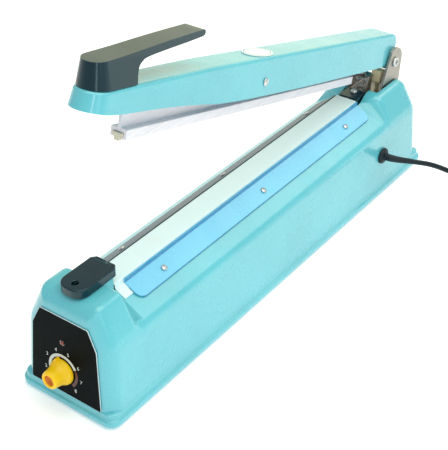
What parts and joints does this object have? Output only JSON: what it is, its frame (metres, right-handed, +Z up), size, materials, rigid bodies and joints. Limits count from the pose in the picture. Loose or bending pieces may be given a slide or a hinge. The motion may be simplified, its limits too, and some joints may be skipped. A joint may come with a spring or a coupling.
{
  "type": "impulse heat sealer",
  "caption": "Hand impulse heat sealer: a long cast base with a sealing jaw and timer dial, and a hinged press arm with a black handle and a sprung return.",
  "frame": {"origin": "centre of the footprint of the machine without its cord, on the surface it stands on", "axes": "+Y from the control panel at the front to the hinge at the back, +X to the side where the cord leaves, +Z up"},
  "size_m": [0.2333, 0.4524, 0.2398],
  "materials": {
    "body_paint": "glossy turquoise enamel with a fine hammered texture",
    "black_plastic": "moulded black plastic, semi-gloss",
    "panel_film": "printed black panel with a pale border and dial marks",
    "strip_paint": "thin steel strip in sky-blue enamel",
    "plain_steel": "bright plated steel",
    "zinc_steel": "dull zinc-plated pressed steel",
    "bar_aluminium": "extruded aluminium, mill finish",
    "brass_plated": "plain brass",
    "knob_plastic": "yellow moulded plastic with an orange face",
    "lamp_lens": "dark red lens",
    "badge_vinyl": "plain white vinyl",
    "ptfe_cloth": "PTFE-coated glass cloth, satin white",
    "silicone_rubber": "off-white silicone rubber",
    "black_rubber": "matt black rubber or PVC",
    "beige_plastic": "beige moulded plastic",
    "nichrome": "flat nichrome ribbon",
    "laminate": "phenolic laminate",
    "iron_core": "stacked iron laminations",
    "copper_winding": "varnished copper wire",
    "circuit_board": "green circuit board"
  },
  "bodies": {
    "base": {"base_shell": "body_paint", "base_plate": "zinc_steel", "control_panel": "panel_film", "indicator_lamp": "lamp_lens", "timer_board": "circuit_board", "transformer_core": "iron_core", "transformer_winding": "copper_winding", "micro_switch": "black_plastic", "platform": "laminate", "heating_element": "nichrome", "ptfe_cloth": "ptfe_cloth", "clamp_strip_near": "strip_paint", "clamp_strip_far": "plain_steel", "terminal_cover": "black_plastic", "terminal_cover_screw": "plain_steel", "front_terminal": "brass_plated", "rear_terminal": "black_plastic", "rear_terminal_screw": "plain_steel", "hinge_bracket": "zinc_steel", "bracket_screw_left": "plain_steel", "bracket_screw_right": "plain_steel", "hinge_pin": "plain_steel", "hinge_clip": "zinc_steel", "arm_stop": "zinc_steel", "return_spring": "plain_steel", "strain_relief": "black_rubber", "power_cord": "black_rubber", "cord_coil": "black_rubber", "cord_tail": "black_rubber", "plug_body": "black_rubber", "plug_pin_left": "brass_plated", "plug_pin_right": "brass_plated", "foot_1": "black_rubber", "foot_rivet_1": "plain_steel", "foot_2": "black_rubber", "foot_rivet_2": "plain_steel", "foot_3": "black_rubber", "foot_rivet_3": "plain_steel", "foot_4": "black_rubber", "foot_rivet_4": "plain_steel", "strip_screw_near_1": "plain_steel", "strip_screw_near_2": "plain_steel", "strip_screw_near_3": "plain_steel", "strip_screw_far_1": "plain_steel", "strip_screw_far_2": "plain_steel", "strip_screw_far_3": "plain_steel"},
    "arm": {"arm_shell": "body_paint", "arm_handle": "black_plastic", "handle_screw_1": "plain_steel", "handle_screw_2": "plain_steel", "oval_badge": "badge_vinyl", "bar_pivot_pin": "plain_steel", "bar_spacer_left": "silicone_rubber", "bar_spacer_right": "silicone_rubber", "switch_pusher": "beige_plastic"},
    "press_bar": {"press_bar": "bar_aluminium", "silicone_strip": "silicone_rubber"},
    "timer": {"timer_knob": "knob_plastic", "timer_shaft": "plain_steel"},
    "plunger": {"switch_plunger": "beige_plastic"}
  },
  "joints": [
    {"name": "arm_hinge", "type": "hinge", "parent": "base", "child": "arm", "pos_m": [0, 0.1988, 0.0996], "axis": [1, 0, 0], "range_deg": [0, 15.7], "stiffness_Nm_per_rad": 2, "springref_deg": -45.84, "deforming": ["return_spring"]},
    {"name": "press_bar_rock", "type": "hinge", "parent": "arm", "child": "press_bar", "pos_m": [0, 0.00311, 0.16063], "axis": [1, 0, 0], "range_deg": [-0.2, 0.2]},
    {"name": "timer_turn", "type": "hinge", "parent": "base", "child": "timer", "pos_m": [-0.0017, -0.20506, 0.03002], "axis": [0, -0.9973, 0.0738], "range_deg": [-157, 123]},
    {"name": "switch_press", "type": "slide", "parent": "base", "child": "plunger", "axis": [0, 0, -1], "range_m": [0, 0.0013]}
  ],
  "couplings": [
    {"joint": "switch_press", "follows": "arm_hinge", "m_per_rad": 0.0047}
  ]
}
